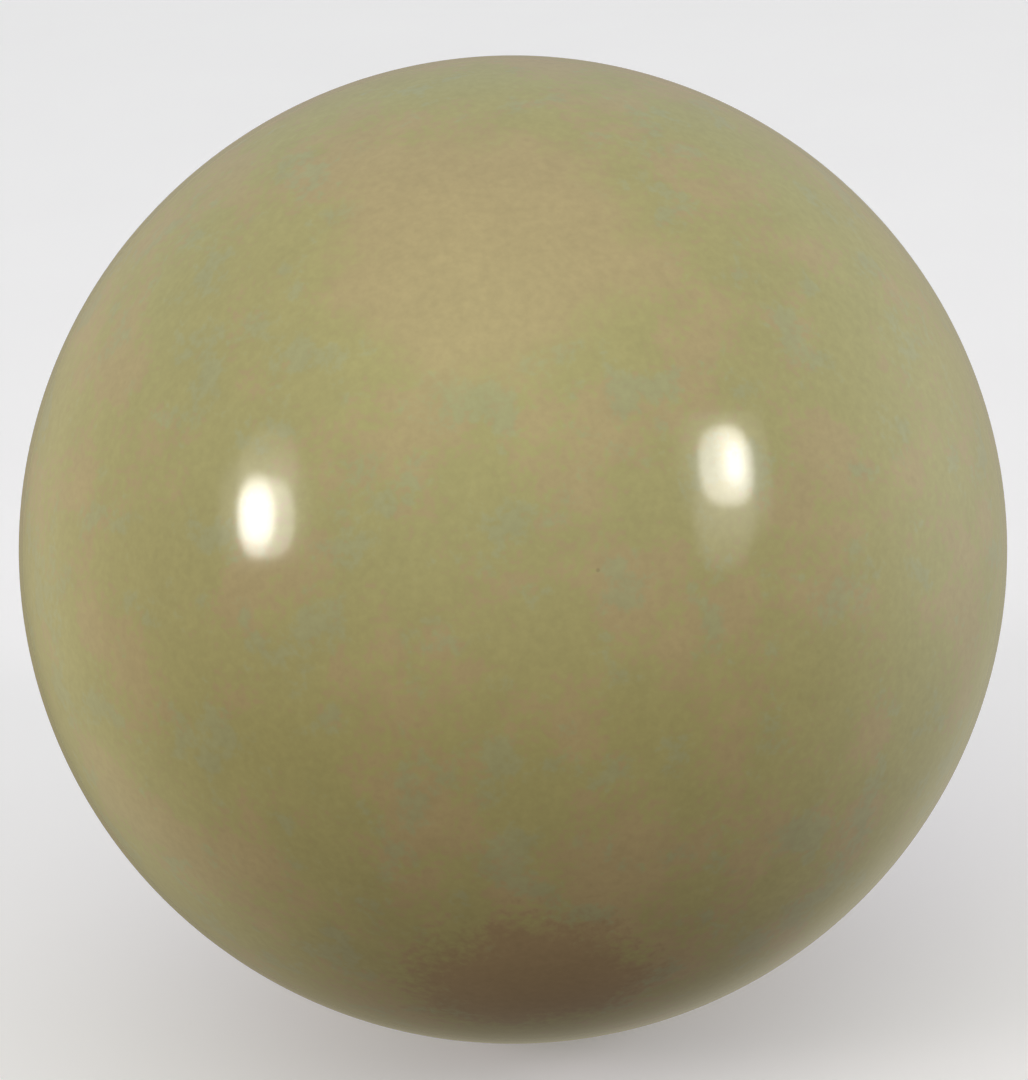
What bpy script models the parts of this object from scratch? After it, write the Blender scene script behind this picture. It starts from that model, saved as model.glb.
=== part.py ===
"""Pool cue ball with an iron-filled core, the kind that a coin-operated table sorts with a magnet.

The ball is cast in two stages. The core is a small ball of resin mixed with iron powder. It is stood on a
tapered pin in the middle of a larger mould, and the cream resin is poured around it. When the casting has
cured, the pin is drawn out, and the hole that it leaves is filled with a resin plug. The ball is then ground
round and polished, the plug's end with it.

Frame: metres, +Z up, with the origin at the ball's centre. Every piece is turned about the Z axis, and the
plug's ground end faces -Z.
"""

import math

import bmesh
import bpy
from mathutils import Vector

# Driving dimensions, in metres
BALL_RADIUS = 0.05715 / 2  # the 2 1/4 inch ball of American pool
CORE_RADIUS = 0.016
PLUG_END_RADIUS = 0.0026  # at the ball's surface
PLUG_TIP_RADIUS = 0.0022  # inside the core: the taper lets the mould's pin be drawn out
SOCKET_DEPTH = 0.007  # of the blind hole in the core that stood on the mould's pin
TIP_CHAMFER = 0.0004
BOND_GAP = 0.0003  # clearance that stands for each bonded face

# How finely the round faces are cut, in facets to a full turn
BALL_STEPS = 72
CORE_STEPS = 48
PLUG_STEPS = 24
END_RINGS = 3  # across the plug's ground end

CAVITY_RADIUS = CORE_RADIUS + BOND_GAP
SOCKET_FLOOR = SOCKET_DEPTH - CORE_RADIUS  # height of the socket's blind end
PLUG_TIP = SOCKET_FLOOR - BOND_GAP  # height of the plug's inner end
FULL_TURN = 2 * math.pi
SHARP_ANGLE = math.radians(30)
MERGE_DISTANCE = 1e-6

# Colours are linear RGB
CREAM = (0.45, 0.38, 0.20)
CREAM_PLUG = (0.48, 0.41, 0.22)
IRON_GREY = (0.045, 0.042, 0.040)


def plug_radius(height):
    """The tapered plug's radius at a height between the ball's foot and the plug's tip."""
    share = (height + BALL_RADIUS) / (PLUG_TIP + BALL_RADIUS)
    return PLUG_END_RADIUS + share * (PLUG_TIP_RADIUS - PLUG_END_RADIUS)


def hole_radius(height):
    """The radius of the hole that the plug fills, at that height."""
    return plug_radius(height) + BOND_GAP


def angle_at(sphere_radius, distance):
    """The angle from the -Z pole at which a sphere is that far from the Z axis."""
    return math.asin(distance / sphere_radius)


def arc(sphere_radius, top, bottom, step):
    """Profile points, (distance from the axis, height), down a sphere between two angles from its -Z pole.

    They are a step apart from the top, and the last gap is within half a step of the others.
    """
    whole_steps = math.floor((top - bottom) / step - 0.5)
    angles = [top - step * count for count in range(whole_steps + 1)] + [bottom]
    return [(sphere_radius * math.sin(a), -sphere_radius * math.cos(a)) for a in angles]


def turned(name, profile, steps, material):
    """A solid of revolution about Z. The profile starts and ends on the axis, with its outer side first."""
    shape = bmesh.new()
    points = [shape.verts.new(Vector((distance, 0, height))) for distance, height in profile]
    edges = [shape.edges.new(pair) for pair in zip(points, points[1:])]
    bmesh.ops.spin(
        shape,
        geom=points + edges,
        axis=(0, 0, 1),
        cent=(0, 0, 0),
        angle=FULL_TURN,
        steps=steps,
        use_merge=True,
    )
    bmesh.ops.remove_doubles(shape, verts=shape.verts, dist=MERGE_DISTANCE)
    bmesh.ops.recalc_face_normals(shape, faces=shape.faces)
    mesh = bpy.data.meshes.new(name)
    shape.to_mesh(mesh)
    shape.free()
    mesh.shade_smooth()
    mesh.set_sharp_from_angle(angle=SHARP_ANGLE)
    mesh.materials.append(material)
    piece = bpy.data.objects.new(name, mesh)
    bpy.context.scene.collection.objects.link(piece)
    return piece


def resin(name, colour, roughness, metallic=0.0):
    material = bpy.data.materials.new(name)
    material.use_nodes = True
    shader = material.node_tree.nodes["Principled BSDF"]
    shader.inputs["Base Color"].default_value = (*colour, 1)
    shader.inputs["Roughness"].default_value = roughness
    shader.inputs["Metallic"].default_value = metallic
    return material


def outer_casting(material):
    """The cream ball, hollow where the core sits, with the tapered hole of the mould's pin at its foot."""
    foot = angle_at(BALL_RADIUS, hole_radius(-BALL_RADIUS))
    throat = angle_at(CAVITY_RADIUS, hole_radius(-CAVITY_RADIUS))
    outside = arc(BALL_RADIUS, math.pi, foot, FULL_TURN / BALL_STEPS)
    inside = arc(CAVITY_RADIUS, math.pi, throat, FULL_TURN / CORE_STEPS)
    return turned("outer_casting", outside + inside[::-1], BALL_STEPS, material)


def magnetic_core(material):
    """The small ball of iron-filled resin, with the blind socket that stood on the mould's pin."""
    mouth = angle_at(CORE_RADIUS, hole_radius(-CORE_RADIUS))
    outside = arc(CORE_RADIUS, math.pi, mouth, FULL_TURN / CORE_STEPS)
    socket = [(hole_radius(SOCKET_FLOOR), SOCKET_FLOOR), (0, SOCKET_FLOOR)]
    return turned("magnetic_core", outside + socket, CORE_STEPS, material)


def pin_hole_plug(material):
    """The resin plug, from its chamfered tip in the core to its end, which is ground to the ball's surface."""
    shoulder = PLUG_TIP - TIP_CHAMFER
    tip = [(0, PLUG_TIP), (plug_radius(PLUG_TIP) - TIP_CHAMFER, PLUG_TIP), (plug_radius(shoulder), shoulder)]
    rim = angle_at(BALL_RADIUS, PLUG_END_RADIUS)
    ground_end = arc(BALL_RADIUS, rim, 0, rim / END_RINGS)
    return turned("pin_hole_plug", tip + ground_end, PLUG_STEPS, material)


def build():
    for leftover in list(bpy.data.objects):
        bpy.data.objects.remove(leftover)
    ball = outer_casting(resin("cream_resin", CREAM, roughness=0.12))
    core = magnetic_core(resin("iron_filled_resin", IRON_GREY, roughness=0.65, metallic=0.25))
    plug = pin_hole_plug(resin("plug_resin", CREAM_PLUG, roughness=0.15))
    core.parent = ball
    plug.parent = ball


build()
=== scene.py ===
"""The looks of the cue ball: its three cast pieces made fine and given their resins, on a pale studio floor.

Everything is in metres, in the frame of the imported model: +Z up, with the origin at the ball's centre.
The camera looks along +Y and down. Azimuths here count from its side of the ball, positive towards +X.
"""

import math

import bpy
from mathutils import Matrix, Vector, noise


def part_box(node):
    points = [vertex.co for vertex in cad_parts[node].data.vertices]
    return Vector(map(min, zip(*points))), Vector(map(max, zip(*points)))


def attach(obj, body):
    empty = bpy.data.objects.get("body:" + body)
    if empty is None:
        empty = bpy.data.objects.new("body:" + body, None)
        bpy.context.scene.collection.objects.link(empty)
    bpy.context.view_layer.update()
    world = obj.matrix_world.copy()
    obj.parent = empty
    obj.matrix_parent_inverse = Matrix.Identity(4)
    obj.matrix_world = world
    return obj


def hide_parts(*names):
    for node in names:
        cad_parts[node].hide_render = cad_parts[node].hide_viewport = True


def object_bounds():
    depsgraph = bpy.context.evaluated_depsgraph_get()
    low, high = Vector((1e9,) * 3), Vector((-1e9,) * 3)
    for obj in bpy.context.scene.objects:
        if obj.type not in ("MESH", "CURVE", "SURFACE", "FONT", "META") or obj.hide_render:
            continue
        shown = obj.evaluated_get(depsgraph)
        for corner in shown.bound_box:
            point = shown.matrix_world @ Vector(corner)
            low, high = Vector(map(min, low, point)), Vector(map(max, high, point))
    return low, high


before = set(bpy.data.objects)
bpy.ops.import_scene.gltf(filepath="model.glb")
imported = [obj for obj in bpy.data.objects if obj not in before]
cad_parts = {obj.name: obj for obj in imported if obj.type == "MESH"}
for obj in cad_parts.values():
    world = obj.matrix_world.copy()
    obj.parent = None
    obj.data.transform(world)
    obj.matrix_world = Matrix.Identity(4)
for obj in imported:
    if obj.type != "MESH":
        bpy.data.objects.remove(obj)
cad_low, cad_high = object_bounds()
casting_low, casting_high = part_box("outer_casting")
core_low, core_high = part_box("magnetic_core")
plug_low, plug_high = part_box("pin_hole_plug")

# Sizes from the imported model
CENTRE = (cad_low + cad_high) / 2
BALL_RADIUS = (casting_high.x - casting_low.x) / 2
CORE_RADIUS = (core_high.x - core_low.x) / 2
PLUG_END_RADIUS = (plug_high.x - plug_low.x) / 2
PLUG_TIP = plug_high.z  # height of the plug's inner end
FLOOR_HEIGHT = cad_low.z

# Sizes of what only the fine pieces have
PLUG_TAPER = 0.0004  # how much thinner the plug is at its tip, in radius
TIP_CHAMFER = 0.0004
END_DISH = 0.000012  # how far the plug's resin shrank below the ball's surface
BOND_LINE = 0.00004  # the hairline between two pieces
SOCKET_ROOM = 0.0003  # between the plug's tip and the socket's floor
RIDGE_HEIGHT = 0.00012  # of the parting line round the core, where its mould's halves met
RIDGE_WIDTH = 0.0005
POLISH_WAVE = 0.000004  # how far the polished surface waves to each side of its mean
POLISH_WAVE_LENGTH = 0.007
CAST_GRAIN = 0.00002  # how rough the core is as it left its mould
CAST_GRAIN_LENGTH = 0.0012

# How finely the pieces are cut
BALL_SEGMENTS = 288
CORE_SEGMENTS = 192
PLUG_SEGMENTS = 96
RIDGE_RINGS = 8
WALL_RINGS = 16
END_RINGS = 12
CHAMFER_RINGS = 2
FLOOR_RIM = 128
FULL_TURN = 2 * math.pi
SHARP_ANGLE = math.radians(30)
SKIN_SHARE = 0.001  # a point this close to a sphere, as a share of its radius, is on that sphere

# The camera
CAMERA_ELEVATION = math.radians(20)
CAMERA_ROLL = math.radians(-5)
CAMERA_LENS = 135  # millimetres
CAMERA_SENSOR = 36  # millimetres, along the picture's long side
DISC_SHARE = 0.9154  # of the picture's long side that the ball spans
AIM_RIGHT = 0.00006  # from the ball's centre to the point that the camera is aimed at
AIM_UP = 0.00055
CAMERA_CLIP = (0.01, 20)

# The studio. Colours are linear RGB, and 1 is as bright as a white card in full light
AMBIENT = (  # a direction's height, from straight down to straight up, and the light that comes from there
    (-1.0, (0.03, 0.01, 0.04)),  # the dark under the ball
    (-0.4, (0.05, 0.02, 0.01)),
    (0.0, (0.36, 0.31, 0.27)),  # the walls
    (0.4, (0.42, 0.48, 0.45)),
    (1.0, (0.40, 0.38, 0.50)),  # the ceiling
)
GLOWS = (  # broad lights with no edge: azimuth, elevation, tightness and colour
    (-10, 65, 6, (0.82, 0.91, 0.38)),  # the big sheet overhead
    (-120, -25, 6, (0.8, 0.8, 0.5)),  # a pale wall behind on the left
    (105, -10, 6, (0.78, 0.88, 0.78)),  # and one on the right
    (155, -35, 10, (0.4, 0.4, 0.3)),  # what the ball rests on, behind it
)
BACKDROP = (0.72, 0.73, 0.725)  # the tone of the floor far away
FLOOR_COLOUR = (0.81, 0.77, 0.90)  # tinted, so that it looks neutral under those lights
FLOOR_GLOW = 0.2  # so that the floor stays pale under lights set for the ball
FLOOR_RADIUS = 4
LAMP_DISTANCE = 0.6
LAMP_COLOUR = (1.0, 0.95, 0.86)
# Each lamp's azimuth, elevation, roll, width, height and lean, and the patches of light on its sheet. A
# patch is a middle, a half size, a softness and a brightness
LAMPS = {
    "lamp_left": (-62, 25, 20, 0.26, 0.30, 0.06, (
        ((0.42, 0.37), (0.17, 0.18), 1.0, 10.0),  # the bulb's glare
        ((0.38, 0.37), (0.17, 0.28), 0.3, 4.0),  # the lit part of the sheet, in two patches
        ((0.49, 0.35), (0.29, 0.27), 0.3, 4.5),
        ((0.50, 0.65), (0.30, 0.30), 0.5, 1.0),  # the unlit part of the sheet
        ((0.45, 0.40), (0.45, 0.35), 1.0, 1.2),  # the glare's spread
    )),
    "lamp_right": (51.5, 18.5, -23, 0.25, 0.40, -0.1, (  # the same five patches, in the same order
        ((0.60, 0.72), (0.09, 0.10), 1.0, 7.0),
        ((0.58, 0.74), (0.15, 0.18), 0.8, 3.5),
        ((0.52, 0.70), (0.27, 0.21), 0.4, 6.5),
        ((0.50, 0.45), (0.30, 0.30), 0.5, 1.0),
        ((0.55, 0.70), (0.45, 0.35), 1.0, 1.2),
    )),
}
PATCH_ROUNDING = 2.5  # the power of a patch's outline: 2 is an ellipse, and more is squarer

# The cream resin. Colours are linear RGB, sizes are in metres, and levels are of a noise, from 0 to 1
CREAM_IOR = 1.6
CREAM_TAN = (0.46, 0.357, 0.20)
CREAM_OLIVE = (0.42, 0.37, 0.175)
CREAM_GREY = (0.39, 0.37, 0.22)
GRAIN_SIZE = 0.0005
DRIFT_SIZE = 0.006
OLIVE_LEVELS = (0.64, 0.73)  # from where the tan starts to turn olive to where it is olive
GRAIN_IN_OLIVE = 0.45  # how strongly the grain shows in the drift's edges
CLOUD_SIZE = 0.0035
GREY_LEVELS = (0.69, 0.79)
GRAIN_IN_GREY = 0.3
MOST_GREY = 0.8  # the share of grey where it is greyest
USUAL_LEVELS = (0.3, 0.7)  # most of a noise lies between these
PATCH_SIZE = 0.0025
PATCH_TONES = (0.97, 1.03)
GRAIN_TONES = (0.95, 1.05)
# Painted light and shade: discs of colour fixed on the side of the ball that faces the camera
PAINTED_LIGHT_AND_SHADE = (  # azimuth and elevation on the ball, radius in metres, and colour
    # painted light: a warm tan pool on the upper front, where the overhead light falls
    (0, 55, 0.0088, (0.46, 0.36, 0.20)),
    # painted shade: the dark reflection of the ground under the ball, low on its front
    (-4, -36, 0.0060, (0.40, 0.29, 0.165)),
)
PAINTED_SHADING_EDGE = 0.003  # the width over which each patch of painted light and shade fades out
PAINTED_SHADING_RAGGEDNESS = 0.010  # how far the edge of a patch of painted light and shade moves when the mottling's level changes by 1
MIDDLE_LEVEL = 0.7  # of the mottling: there, the edge of a patch of painted light and shade stays in its place
PIT_SPACING = 0.003
PIT_LEVELS = (0.80, 0.82)  # only the cells above this level have a pit
PIT_EDGE = (0.02, 0.05)  # as shares of the spacing
PIT_DARKNESS = 0.35
PIT_COLOUR = (0.16, 0.12, 0.06)
SCRATCHES = (  # each set's turn in radians, and its scratches' length and width
    ((0.4, 0.9, 0.2), 0.012, 0.00016),
    ((1.3, 0.2, 1.1), 0.009, 0.00013),
)
SCRATCH_LEVELS = (0.70, 0.76)
SCRATCH_ROUGHNESS = 0.04
HAZE_SIZE = 0.008
HAZE_LEVELS = (0.35, 0.7)
HAZE_ROUGHNESS = (0.075, 0.10)
PEEL_SIZE = 0.0012  # of the polish's ripple
PEEL_HEIGHT = 0.0000012
SCRATCH_DEPTH = 0.12  # as a share of the ripple's height
PIT_DEPTH = 1.5  # likewise

# The core's resin
IRON_IOR = 1.55
IRON_RESIN = (0.045, 0.041, 0.037)
IRON_GRAIN = (0.42, 0.40, 0.38)
IRON_GRAIN_SIZE = 0.00028
IRON_LEVELS = (0.70, 0.74)  # only the cells above this level are cut grains of iron
IRON_PATCH_SIZE = 0.003
IRON_TONES = (0.8, 1.25)
IRON_ROUGHNESS = (0.5, 0.72)
IRON_RELIEF = 0.00004
IRON_RELIEF_STRENGTH = 0.6

# The floor's paper
PAPER_IOR = 1.4
PAPER_SHINE = 0.1
PAPER_ROUGHNESS = 0.8
PAPER_TONES = (0.99, 1.01)
FIBRE_SIZE = 0.02
WHITE = (1.0, 1.0, 1.0)

NOISE_ROUGHNESS = 0.6  # how strong a noise's finer features are, each against the one it is on

# Sockets of the Mix node when it mixes colours
MIX_A = 6
MIX_B = 7
MIX_RESULT = 2


# Shapes

def arc(radius, start, end, steps):
    """Profile points, (distance from axis, height), along a sphere between two angles from its -Z pole."""
    angles = [start + (end - start) * step / steps for step in range(steps + 1)]
    return [(radius * math.sin(a), -radius * math.cos(a)) for a in angles]


def line(start, end, steps):
    """Profile points along a straight line."""
    shares = [step / steps for step in range(steps + 1)]
    return [(start[0] + (end[0] - start[0]) * s, start[1] + (end[1] - start[1]) * s) for s in shares]


def joined(*stretches):
    """One profile from stretches that each start where the last one ended."""
    profile = list(stretches[0])
    for stretch in stretches[1:]:
        profile += stretch[1:]
    return profile


def turned(name, profile, segments):
    """A closed solid of revolution. Its profile runs from axis back to axis, with its outer side first."""
    points = [Vector((0, 0, profile[0][1]))]
    for distance, height in profile[1:-1]:
        for segment in range(segments):
            angle = FULL_TURN * segment / segments
            points.append(Vector((distance * math.cos(angle), distance * math.sin(angle), height)))
    points.append(Vector((0, 0, profile[-1][1])))
    last = len(points) - 1
    faces = []
    for segment in range(segments):
        following = (segment + 1) % segments
        faces.append((0, 1 + segment, 1 + following))
        for ring in range(len(profile) - 3):
            upper = 1 + ring * segments
            lower = upper + segments
            faces.append((upper + segment, lower + segment, lower + following, upper + following))
        final = last - segments
        faces.append((final + following, final + segment, last))
    mesh = bpy.data.meshes.new(name)
    mesh.from_pydata([CENTRE + point for point in points], [], faces)
    piece = bpy.data.objects.new(name, mesh)
    bpy.context.scene.collection.objects.link(piece)
    return piece


def finished(piece, material):
    """The piece, smooth but for its sharp edges, with its material on it."""
    mesh = piece.data
    mesh.validate()
    mesh.shade_smooth()
    mesh.set_sharp_from_angle(angle=SHARP_ANGLE)
    mesh.materials.append(material)
    return piece


def swell(piece, radius, shift):
    """Moves the points on a sphere of that radius in or out, by what shift says of their place."""
    for vertex in piece.data.vertices:
        spoke = vertex.co - CENTRE
        if abs(spoke.length - radius) <= radius * SKIN_SHARE:
            vertex.co = CENTRE + spoke * (1 + shift(spoke) / spoke.length)


def polish_wave(spoke):
    """A polished ball is true to a few microns, and never stands proud of its size."""
    return POLISH_WAVE * (noise.noise(spoke / POLISH_WAVE_LENGTH) - 1)


def core_skin(spoke):
    """The core's skin as it left its mould: grainy, with the ridge of the parting line round its waist."""
    grain = CAST_GRAIN * noise.noise(spoke / CAST_GRAIN_LENGTH)
    ridge = RIDGE_HEIGHT * max(0, 1 - abs(spoke.z) / (RIDGE_WIDTH / 2))
    return grain + ridge


def plug_radius(height):
    """The tapered plug's radius at a height between the ball's foot and the plug's tip."""
    foot = FLOOR_HEIGHT - CENTRE.z
    return PLUG_END_RADIUS - PLUG_TAPER * (height - foot) / (PLUG_TIP - foot)


def hole_radius(height):
    """The radius of the hole that the plug fills, at that height."""
    return plug_radius(height) + BOND_LINE


def mouth_angle(radius):
    """The angle from the -Z pole at which the hole for the plug meets a sphere of that radius."""
    return math.asin(hole_radius(-radius) / radius)


def waisted(radius, start, end, rings):
    """An arc over the top of a sphere and down, with closer rings where the parting line is."""
    waist = math.pi / 2
    half = RIDGE_WIDTH / radius
    return joined(
        arc(radius, start, waist + half, rings),
        arc(radius, waist + half, waist - half, RIDGE_RINGS),
        arc(radius, waist - half, end, rings),
    )


def cream_casting():
    """The outer casting: a thick shell of resin round the core, with the plug's hole through its foot."""
    cavity = CORE_RADIUS + BOND_LINE
    foot = mouth_angle(BALL_RADIUS)
    throat = mouth_angle(cavity)
    outside = arc(BALL_RADIUS, math.pi, foot, BALL_SEGMENTS // 2)
    inside = waisted(cavity, math.pi, throat, CORE_SEGMENTS // 4)[::-1]
    wall = line(outside[-1], inside[0], WALL_RINGS)
    piece = turned("cream_casting", joined(outside, wall, inside), BALL_SEGMENTS)
    swell(piece, BALL_RADIUS, polish_wave)
    swell(piece, cavity, core_skin)
    return piece


def iron_core():
    """The core: an iron-filled ball with the blind socket that stood on the mould's pin."""
    mouth = mouth_angle(CORE_RADIUS)
    floor = PLUG_TIP + SOCKET_ROOM
    skin = waisted(CORE_RADIUS, math.pi, mouth, CORE_SEGMENTS // 4)
    wall = line(skin[-1], (hole_radius(floor), floor), WALL_RINGS)
    end = line(wall[-1], (0, floor), END_RINGS)
    piece = turned("iron_core", joined(skin, wall, end), CORE_SEGMENTS)
    swell(piece, CORE_RADIUS, core_skin)
    return piece


def resin_plug():
    """The plug, tapered and chamfered, its outer end ground with the ball and very slightly dished."""
    shoulder = PLUG_TIP - TIP_CHAMFER
    tip_radius = plug_radius(PLUG_TIP) - TIP_CHAMFER
    tip = line((0, PLUG_TIP), (tip_radius, PLUG_TIP), END_RINGS)
    chamfer = line(tip[-1], (plug_radius(shoulder), shoulder), CHAMFER_RINGS)
    rim = math.asin(PLUG_END_RADIUS / BALL_RADIUS)
    end = [
        (distance, height + END_DISH * (1 - (distance / PLUG_END_RADIUS) ** 2))
        for distance, height in arc(BALL_RADIUS, rim, 0, END_RINGS)
    ]
    wall = line(chamfer[-1], end[0], WALL_RINGS * 2)
    return turned("ground_plug", joined(tip, chamfer, wall, end), PLUG_SEGMENTS)


# Materials

def node(tree, kind, inputs=None, **settings):
    """Adds a node, with each of its inputs set to a value or linked to another node's socket."""
    made = tree.nodes.new("ShaderNode" + kind)
    for name, value in settings.items():
        setattr(made, name, value)
    for socket, value in (inputs or {}).items():
        if isinstance(value, bpy.types.NodeSocket):
            tree.links.new(value, made.inputs[socket])
        else:
            made.inputs[socket].default_value = value
    return made


def math_node(tree, operation, *values):
    return node(tree, "Math", dict(enumerate(values)), operation=operation).outputs[0]


def remap(tree, value, levels, results=(0.0, 1.0), kind="SMOOTHSTEP"):
    """Takes a value between two levels to the place between two results, and no further."""
    inputs = {"Value": value, "From Min": levels[0], "From Max": levels[1]}
    inputs.update({"To Min": results[0], "To Max": results[1]})
    return node(tree, "MapRange", inputs, interpolation_type=kind).outputs[0]


def toned(tree, colour, tone):
    """The colour, lighter or darker by that factor."""
    return node(tree, "HueSaturation", {"Value": tone, "Color": colour}).outputs[0]


def noise_node(tree, place, size, detail):
    """Noise with features of about that size, in metres, and finer ones on them as detail rises."""
    inputs = {"Vector": place, "Scale": 1 / size, "Detail": detail, "Roughness": NOISE_ROUGHNESS}
    return node(tree, "TexNoise", inputs).outputs["Fac"]


def mixed(tree, share, first, second):
    inputs = {"Factor": share, MIX_A: first, MIX_B: second}
    return node(tree, "Mix", inputs, data_type="RGBA").outputs[MIX_RESULT]


def new_material(name, ior, specular=0.5):
    """A material, its node tree and its shader, with what is the same all over set on the shader."""
    material = bpy.data.materials.new(name)
    material.use_nodes = True
    shader = material.node_tree.nodes["Principled BSDF"]
    shader.inputs["IOR"].default_value = ior
    shader.inputs["Specular IOR Level"].default_value = specular
    return material, material.node_tree, shader


def object_place(tree):
    return node(tree, "TexCoord").outputs["Object"]


def hairlines(tree, place, turn, length, width):
    """Fine polishing scratches in one direction: 1 on a hairline, 0 elsewhere."""
    inputs = {"Vector": place, "Rotation": turn, "Scale": (1 / length, 1 / width, 1 / width)}
    stretched = node(tree, "Mapping", inputs).outputs[0]
    streaks = node(tree, "TexNoise", {"Vector": stretched, "Scale": 1.0, "Detail": 1.0}).outputs["Fac"]
    return remap(tree, streaks, SCRATCH_LEVELS)


def rgba(colour):
    return (*colour, 1.0)


def with_painted_light_and_shade(tree, place, mottling, colour):
    """The colour with patches of painted light and shade over it. Their edges are ragged, because the
    mottling moves them.
    """
    level = math_node(tree, "SUBTRACT", mottling, MIDDLE_LEVEL)
    for azimuth, elevation, radius, painted_tone in PAINTED_LIGHT_AND_SHADE:
        middle = direction(azimuth, elevation) * BALL_RADIUS
        away = node(tree, "VectorMath", {0: place, 1: middle}, operation="DISTANCE").outputs["Value"]
        ragged = math_node(tree, "MULTIPLY_ADD", level, PAINTED_SHADING_RAGGEDNESS, away)
        edge = (radius - PAINTED_SHADING_EDGE / 2, radius + PAINTED_SHADING_EDGE / 2)
        # paints each patch of light and shade over the colour
        colour = mixed(tree, remap(tree, ragged, edge, (1.0, 0.0)), colour, rgba(painted_tone))
    return colour


def mottled(tree, place):
    """The cream's colour all over: tan, olive and grey-green, with two patches of painted light and shade,
    speckled lighter and darker.
    """
    grain = noise_node(tree, place, GRAIN_SIZE, detail=3.0)
    drift = noise_node(tree, place, DRIFT_SIZE, detail=6.0)
    mottling = math_node(tree, "MULTIPLY_ADD", grain, GRAIN_IN_OLIVE, drift)
    colour = mixed(tree, remap(tree, mottling, OLIVE_LEVELS), rgba(CREAM_TAN), rgba(CREAM_OLIVE))
    clouds = noise_node(tree, place, CLOUD_SIZE, detail=6.0)
    clouds = math_node(tree, "MULTIPLY_ADD", grain, GRAIN_IN_GREY, clouds)
    greyed = remap(tree, clouds, GREY_LEVELS, (0.0, MOST_GREY))
    # painted light and shade go over the cream's colour here
    colour = with_painted_light_and_shade(tree, place, mottling, mixed(tree, greyed, colour, rgba(CREAM_GREY)))
    patches = noise_node(tree, place, PATCH_SIZE, detail=4.0)
    patch_tone = remap(tree, patches, USUAL_LEVELS, PATCH_TONES, "LINEAR")
    grain_tone = remap(tree, grain, USUAL_LEVELS, GRAIN_TONES, "LINEAR")
    return toned(tree, colour, math_node(tree, "MULTIPLY", patch_tone, grain_tone))


def small_pits(tree, place):
    """A few tiny pits: 1 in a pit, 0 elsewhere."""
    cells = node(tree, "TexVoronoi", {"Vector": place, "Scale": 1 / PIT_SPACING})
    chosen = remap(tree, cells.outputs["Color"], PIT_LEVELS)
    dot = remap(tree, cells.outputs["Distance"], PIT_EDGE, (1.0, 0.0))
    return math_node(tree, "MULTIPLY", chosen, dot)


def cream_resin(name):
    """Old polished phenolic resin: mottled, pitted here and there, scratched, and with a hazy gloss."""
    material, tree, shader = new_material(name, CREAM_IOR)
    place = object_place(tree)
    pits = small_pits(tree, place)
    darker = math_node(tree, "MULTIPLY", pits, PIT_DARKNESS)
    pitted = mixed(tree, darker, mottled(tree, place), rgba(PIT_COLOUR))
    tree.links.new(pitted, shader.inputs["Base Color"])

    scratches = math_node(tree, "MAXIMUM", *(hairlines(tree, place, *each) for each in SCRATCHES))
    haze = remap(tree, noise_node(tree, place, HAZE_SIZE, detail=4.0), HAZE_LEVELS, HAZE_ROUGHNESS)
    worn = math_node(tree, "MULTIPLY_ADD", scratches, SCRATCH_ROUGHNESS, haze)
    tree.links.new(worn, shader.inputs["Roughness"])

    peel = noise_node(tree, place, PEEL_SIZE, detail=1.0)
    cut = math_node(tree, "MULTIPLY_ADD", scratches, -SCRATCH_DEPTH, peel)
    relief = math_node(tree, "MULTIPLY_ADD", pits, -PIT_DEPTH, cut)
    bump = node(tree, "Bump", {"Height": relief, "Distance": PEEL_HEIGHT, "Strength": 1.0})
    tree.links.new(bump.outputs[0], shader.inputs["Normal"])
    return material


def iron_resin(name):
    """Dark resin packed with iron powder, dull from its mould, with the metal of cut grains showing."""
    material, tree, shader = new_material(name, IRON_IOR)
    place = object_place(tree)
    cells = node(tree, "TexVoronoi", {"Vector": place, "Scale": 1 / IRON_GRAIN_SIZE})
    metal = remap(tree, cells.outputs["Color"], IRON_LEVELS)
    patches = noise_node(tree, place, IRON_PATCH_SIZE, detail=4.0)
    binder = toned(tree, rgba(IRON_RESIN), remap(tree, patches, USUAL_LEVELS, IRON_TONES, "LINEAR"))
    tree.links.new(mixed(tree, metal, binder, rgba(IRON_GRAIN)), shader.inputs["Base Color"])
    tree.links.new(metal, shader.inputs["Metallic"])
    dullness = remap(tree, patches, USUAL_LEVELS, IRON_ROUGHNESS, "LINEAR")
    tree.links.new(dullness, shader.inputs["Roughness"])
    relief = math_node(tree, "ADD", cells.outputs["Distance"], patches)
    inputs = {"Height": relief, "Distance": IRON_RELIEF, "Strength": IRON_RELIEF_STRENGTH}
    tree.links.new(node(tree, "Bump", inputs).outputs[0], shader.inputs["Normal"])
    return material


def floor_paper():
    """Plain pale paper with faint fibres. It glows a little, to stay pale under the ball's lights."""
    material, tree, shader = new_material("floor_paper", PAPER_IOR, PAPER_SHINE)
    fibres = noise_node(tree, object_place(tree), FIBRE_SIZE, detail=3.0)
    paper = toned(tree, rgba(FLOOR_COLOUR), remap(tree, fibres, USUAL_LEVELS, PAPER_TONES, "LINEAR"))
    tree.links.new(paper, shader.inputs["Base Color"])
    shader.inputs["Roughness"].default_value = PAPER_ROUGHNESS
    shader.inputs["Emission Color"].default_value = rgba(WHITE)
    shader.inputs["Emission Strength"].default_value = FLOOR_GLOW
    return material


# The studio

def direction(azimuth, elevation):
    """A unit vector from the ball towards an azimuth and an elevation, in degrees."""
    a = math.radians(azimuth)
    e = math.radians(elevation)
    return Vector((math.sin(a) * math.cos(e), -math.cos(a) * math.cos(e), math.sin(e)))


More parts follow.
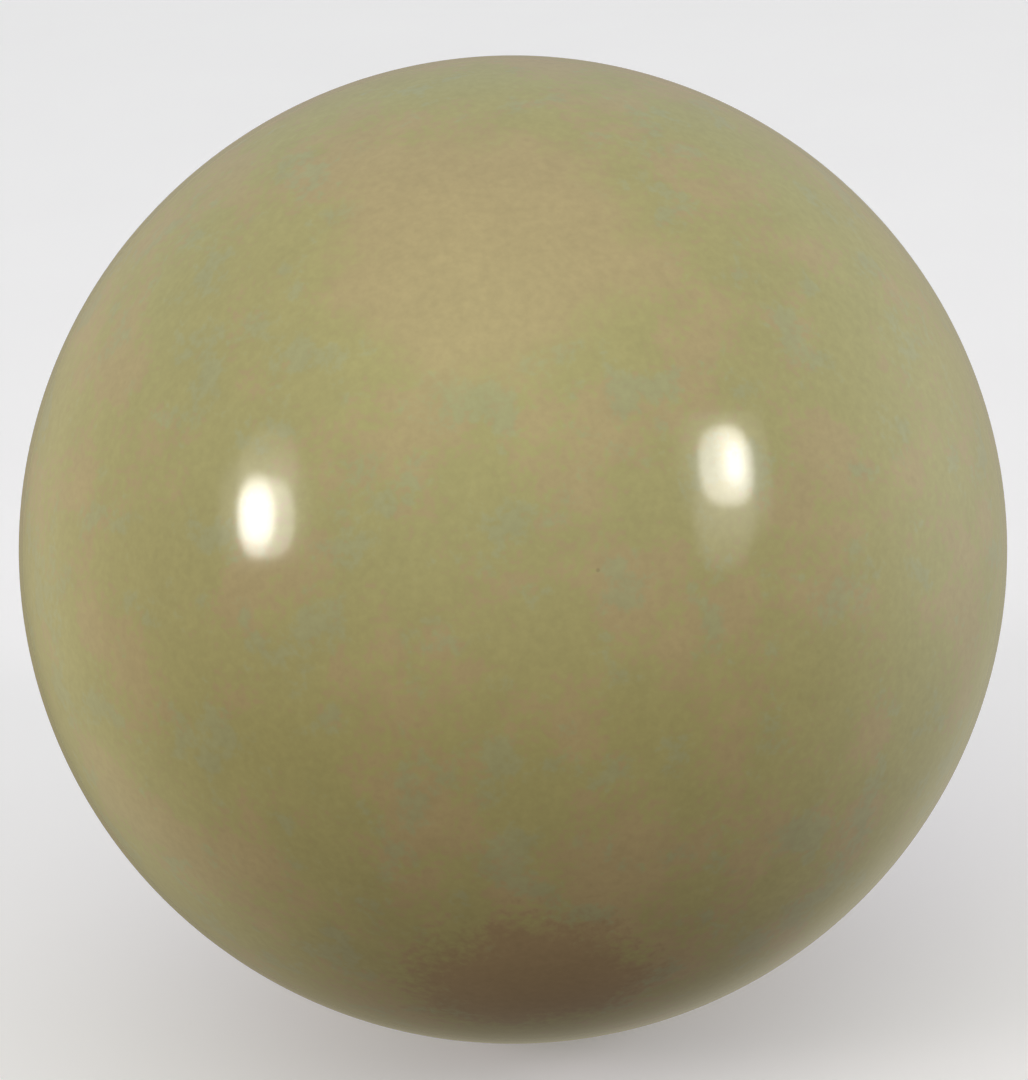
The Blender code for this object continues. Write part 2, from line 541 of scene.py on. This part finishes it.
def studio_world():
    """Soft light all round: a gradient with height, and broad glows. The camera sees a plain backdrop."""
    world = bpy.data.worlds.new("studio")
    world.use_nodes = True
    tree = world.node_tree
    tree.nodes.clear()
    towards = node(tree, "TexCoord").outputs["Generated"]
    height = node(tree, "SeparateXYZ", {0: towards}).outputs["Z"]
    share = remap(tree, height, (-1.0, 1.0), kind="LINEAR")
    gradient = node(tree, "ValToRGB", {0: share})
    stops = gradient.color_ramp.elements
    while len(stops) < len(AMBIENT):
        stops.new(0.5)
    for stop, (level, colour) in zip(stops, AMBIENT):
        stop.position = (level + 1) / 2
        stop.color = rgba(colour)
    light = gradient.outputs[0]
    for azimuth, elevation, tightness, colour in GLOWS:
        inputs = {0: towards, 1: direction(azimuth, elevation)}
        facing = node(tree, "VectorMath", inputs, operation="DOT_PRODUCT").outputs["Value"]
        falloff = math_node(tree, "MULTIPLY_ADD", facing, tightness, -tightness)
        glow = math_node(tree, "EXPONENT", falloff)
        scaled = node(tree, "VectorMath", {0: colour, "Scale": glow}, operation="SCALE").outputs[0]
        light = node(tree, "VectorMath", {0: light, 1: scaled}, operation="ADD").outputs[0]
    lit = node(tree, "Background", {"Color": light})
    seen = node(tree, "Background", {"Color": rgba(BACKDROP)})
    by_ray = node(tree, "LightPath").outputs["Is Camera Ray"]
    either = node(tree, "MixShader", {0: by_ray, 1: lit.outputs[0], 2: seen.outputs[0]})
    node(tree, "OutputWorld", {"Surface": either.outputs[0]})
    bpy.context.scene.world = world


def patch_of_light(tree, across, up, middle, half, softness, brightness):
    """A rounded patch: its brightness in the middle, and soft over a share of its half width at its rim."""
    terms = []
    for place, centre, reach in ((across, middle[0], half[0]), (up, middle[1], half[1])):
        offset = math_node(tree, "MULTIPLY_ADD", place, 1 / reach, -centre / reach)
        terms.append(math_node(tree, "POWER", math_node(tree, "ABSOLUTE", offset), PATCH_ROUNDING))
    away = math_node(tree, "ADD", *terms)
    return remap(tree, away, (1 - softness, 1 + softness), (brightness, 0.0))


def softbox(name, azimuth, elevation, roll, width, height, lean, patches):
    """A lamp behind a diffusing sheet, whose light is the sum of its patches.

    Places on it run from 0 to 1, left to right and bottom to top as the ball shows it.
    """
    light = bpy.data.lights.new(name, "AREA")
    light.shape = "RECTANGLE"
    light.size = width
    light.size_y = height
    light.energy = math.pi * width * height  # so that a patch's brightness is its own radiance
    light.color = LAMP_COLOUR
    light.use_nodes = True
    tree = light.node_tree
    place = node(tree, "SeparateXYZ", {0: node(tree, "NewGeometry").outputs["Parametric"]})
    up = place.outputs["Y"]
    leant = math_node(tree, "MULTIPLY_ADD", up, lean, -lean / 2)
    across = math_node(tree, "ADD", place.outputs["X"], leant)
    total = 0.0
    for patch in patches:
        total = math_node(tree, "ADD", patch_of_light(tree, across, up, *patch), total)
    tree.links.new(total, tree.nodes["Emission"].inputs["Strength"])

    lamp = bpy.data.objects.new(name, light)
    bpy.context.scene.collection.objects.link(lamp)
    towards = direction(azimuth, elevation)
    facing = (-towards).to_track_quat("-Z", "Y").to_matrix() @ Matrix.Rotation(math.radians(roll), 3, "Z")
    lamp.matrix_world = Matrix.Translation(CENTRE + towards * LAMP_DISTANCE) @ facing.to_4x4()


def pale_floor():
    """A wide disc of pale paper. It takes the ball's shadow, and throws no light of its own on the ball."""
    angles = [FULL_TURN * step / FLOOR_RIM for step in range(FLOOR_RIM)]
    points = [(FLOOR_RADIUS * math.cos(a), FLOOR_RADIUS * math.sin(a), FLOOR_HEIGHT) for a in angles]
    mesh = bpy.data.meshes.new("studio_floor")
    mesh.from_pydata(points, [], [tuple(range(FLOOR_RIM))])
    mesh.materials.append(floor_paper())
    floor = bpy.data.objects.new("studio_floor", mesh)
    bpy.context.scene.collection.objects.link(floor)
    floor.visible_diffuse = False
    floor.visible_glossy = False
    floor.visible_shadow = False


def camera():
    """A long lens close to the ball, looking down on it and tipped a little to one side."""
    data = bpy.data.cameras.new("camera")
    data.lens = CAMERA_LENS
    data.sensor_width = CAMERA_SENSOR
    data.clip_start, data.clip_end = CAMERA_CLIP
    eye = bpy.data.objects.new("camera", data)
    bpy.context.scene.collection.objects.link(eye)
    half_angle = math.atan(DISC_SHARE * CAMERA_SENSOR / 2 / CAMERA_LENS)
    distance = BALL_RADIUS / math.sin(half_angle)
    back = direction(0, math.degrees(CAMERA_ELEVATION))
    facing = (-back).to_track_quat("-Z", "Y").to_matrix()
    turned_to = facing @ Matrix.Rotation(CAMERA_ROLL, 3, "Z")
    aim = CENTRE + turned_to @ Vector((AIM_RIGHT, AIM_UP, 0))
    eye.matrix_world = Matrix.Translation(aim + back * distance) @ turned_to.to_4x4()
    bpy.context.scene.camera = eye


camera()
studio_world()
pale_floor()
for name, settings in LAMPS.items():
    softbox(name, *settings)

casting = finished(cream_casting(), cream_resin("cream_resin"))
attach(casting, "root")
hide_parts("outer_casting")

core = finished(iron_core(), iron_resin("iron_filled_resin"))
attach(core, "root")
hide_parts("magnetic_core")

plug = finished(resin_plug(), cream_resin("plug_resin"))
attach(plug, "root")
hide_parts("pin_hole_plug")

bpy.context.scene.view_settings.view_transform = "Standard"
